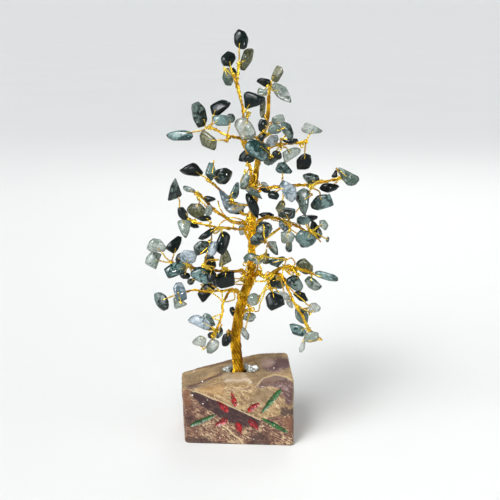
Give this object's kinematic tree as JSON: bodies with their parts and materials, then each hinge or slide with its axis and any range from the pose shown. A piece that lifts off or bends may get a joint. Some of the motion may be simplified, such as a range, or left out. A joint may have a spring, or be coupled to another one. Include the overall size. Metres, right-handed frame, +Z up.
{
  "type": "wire tree sculpture",
  "caption": "Small tree of twisted gold-coloured wire with drilled moss-agate chips for leaves, standing in a carved and painted stone block.",
  "frame": {"origin": "middle of the stone block's flat underside", "axes": "+Z up along the tree, -Y towards the viewer that the carved flower faces, +X to that viewer's right"},
  "size_m": [0.1278, 0.0875, 0.2481],
  "materials": {
    "stone": "rough banded brown, cream and purple stone",
    "glitter": "silver crushed crystal in clear glue",
    "gold_wire": "bright gold-coloured wire",
    "agate": "polished moss agate, black, dark green, grey-green, blue-grey and clear, with thin gold wire"
  },
  "bodies": {
    "root": {"branch_leader_left": "gold_wire", "branch_left_down": "gold_wire", "branch_left_low": "gold_wire", "branch_left_mid": "gold_wire", "branch_left_mid_low": "gold_wire", "branch_left_out": "gold_wire", "branch_left_upper": "gold_wire", "branch_right_down": "gold_wire", "branch_right_long": "gold_wire", "branch_right_low": "gold_wire", "branch_right_mid": "gold_wire", "branch_upper_left": "gold_wire", "branch_upper_right": "gold_wire", "glitter_bed": "glitter", "sprig_back_high": "agate", "sprig_back_low": "agate", "sprig_back_middle": "agate", "sprig_back_right": "agate", "sprig_centre_high": "agate", "sprig_centre_low": "agate", "sprig_crown_left_high": "agate", "sprig_crown_left_low": "agate", "sprig_crown_right": "agate", "sprig_foot_left": "agate", "sprig_leader_middle": "agate", "sprig_left_down_tip": "agate", "sprig_left_low_in": "agate", "sprig_left_low_middle": "agate", "sprig_left_low_out": "agate", "sprig_left_low_tip": "agate", "sprig_left_mid_low_in": "agate", "sprig_left_mid_low_tip": "agate", "sprig_left_mid_tip": "agate", "sprig_left_out_in": "agate", "sprig_left_out_tip": "agate", "sprig_left_upper_in": "agate", "sprig_left_upper_tip": "agate", "sprig_low_back": "agate", "sprig_right_down_middle": "agate", "sprig_right_down_tip": "agate", "sprig_right_long_in": "agate", "sprig_right_long_middle": "agate", "sprig_right_long_tip": "agate", "sprig_right_low_hang": "agate", "sprig_right_low_in": "agate", "sprig_right_low_out": "agate", "sprig_right_low_tip": "agate", "sprig_right_mid_in": "agate", "sprig_right_mid_tip": "agate", "sprig_trunk_left": "agate", "sprig_upper_core": "agate", "sprig_upper_front": "agate", "sprig_upper_left_in": "agate", "sprig_upper_left_out": "agate", "sprig_upper_right_in": "agate", "sprig_upper_right_out": "agate", "stone_base": "stone", "trunk": "gold_wire"}
  },
  "joints": []
}
